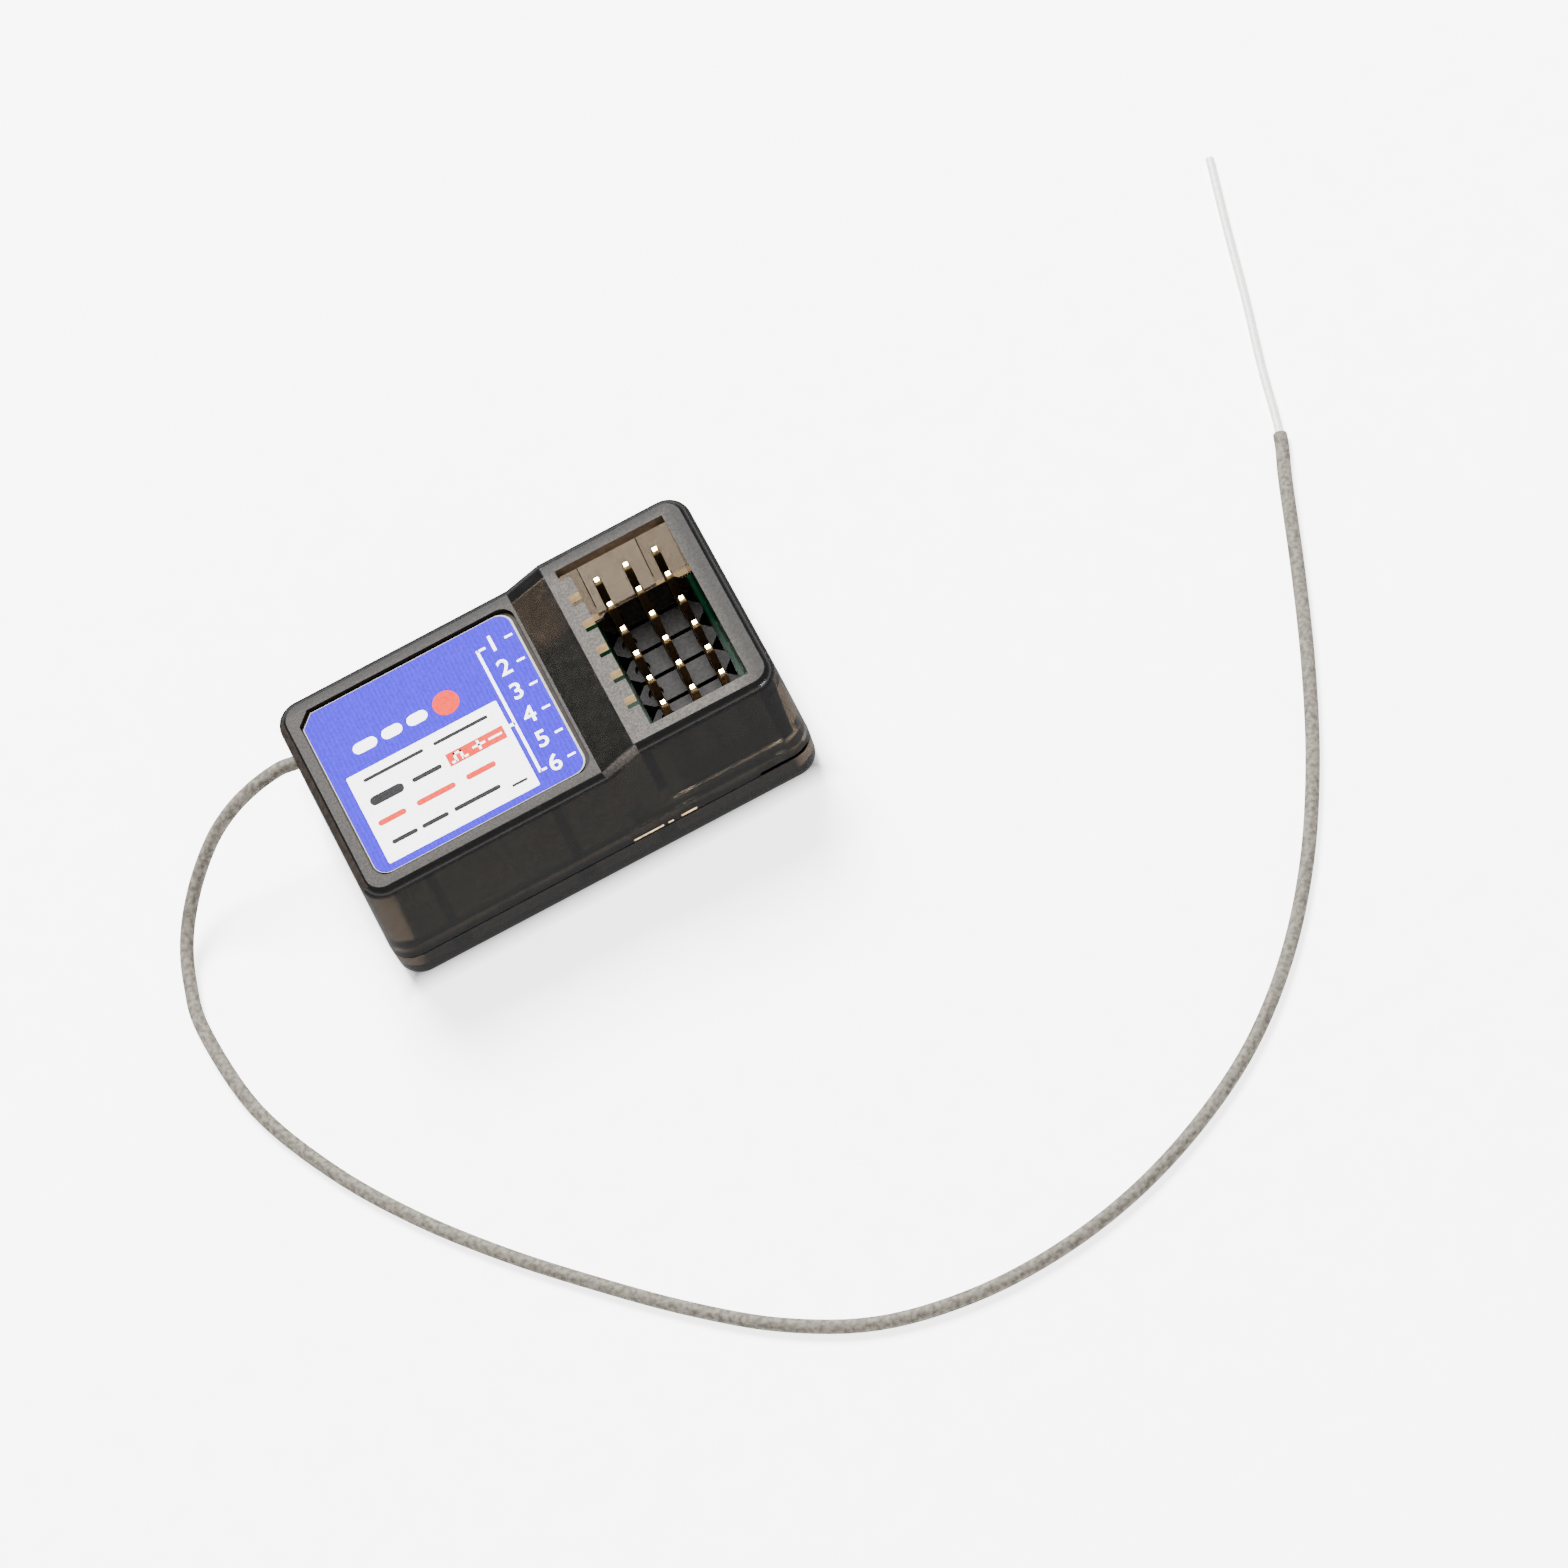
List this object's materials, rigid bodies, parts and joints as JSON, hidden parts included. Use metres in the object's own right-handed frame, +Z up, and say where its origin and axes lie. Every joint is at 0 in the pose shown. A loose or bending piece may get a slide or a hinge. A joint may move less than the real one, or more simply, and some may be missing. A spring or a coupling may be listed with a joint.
{
  "type": "rc receiver",
  "caption": "Small radio control receiver: smoke-translucent two-shell case with a label deck, a raised well of servo header pins with key notches, and a looped wire antenna.",
  "frame": {"origin": "middle of the case's flat underside, without the antenna", "axes": "+X along the case towards the plug well, +Y to the side nearest the antenna's outlet, +Z up, out of the plug well"},
  "size_m": [0.1037, 0.0815, 0.0148],
  "materials": {
    "smoke_case": "smoke-translucent moulded plastic, fine matte top, glossy walls",
    "label_vinyl": "printed vinyl label",
    "board_laminate": "green solder mask",
    "header_plastic": "black moulded nylon",
    "pin_gold": "gold-plated square pins",
    "solder": "bright solder",
    "chip_resin": "black moulded resin",
    "can_metal": "metal can",
    "capacitor_ceramic": "brown ceramic",
    "lamp_resin": "clear lamp resin",
    "cable_jacket": "grey-brown fluoropolymer jacket",
    "cable_core": "translucent white dielectric"
  },
  "bodies": {
    "root": {"upper_case": "smoke_case", "lower_case": "smoke_case", "label": "label_vinyl", "main_board": "board_laminate", "header_strip_1": "header_plastic", "header_strip_2": "header_plastic", "header_strip_3": "header_plastic", "header_strip_4": "header_plastic", "header_strip_5": "header_plastic", "header_strip_6": "header_plastic", "pin_1_signal": "pin_gold", "pin_1_positive": "pin_gold", "pin_1_negative": "pin_gold", "pin_2_signal": "pin_gold", "pin_2_positive": "pin_gold", "pin_2_negative": "pin_gold", "pin_3_signal": "pin_gold", "pin_3_positive": "pin_gold", "pin_3_negative": "pin_gold", "pin_4_signal": "pin_gold", "pin_4_positive": "pin_gold", "pin_4_negative": "pin_gold", "pin_5_signal": "pin_gold", "pin_5_positive": "pin_gold", "pin_5_negative": "pin_gold", "pin_6_signal": "pin_gold", "pin_6_positive": "pin_gold", "pin_6_negative": "pin_gold", "header_solder": "solder", "radio_chip": "chip_resin", "controller_chip": "chip_resin", "motion_chip": "chip_resin", "crystal": "can_metal", "voltage_regulator": "chip_resin", "input_capacitor": "capacitor_ceramic", "output_capacitor": "capacitor_ceramic", "status_lamp": "lamp_resin", "antenna_joint": "solder", "antenna_jacket": "cable_jacket", "antenna_core": "cable_core"}
  },
  "joints": []
}
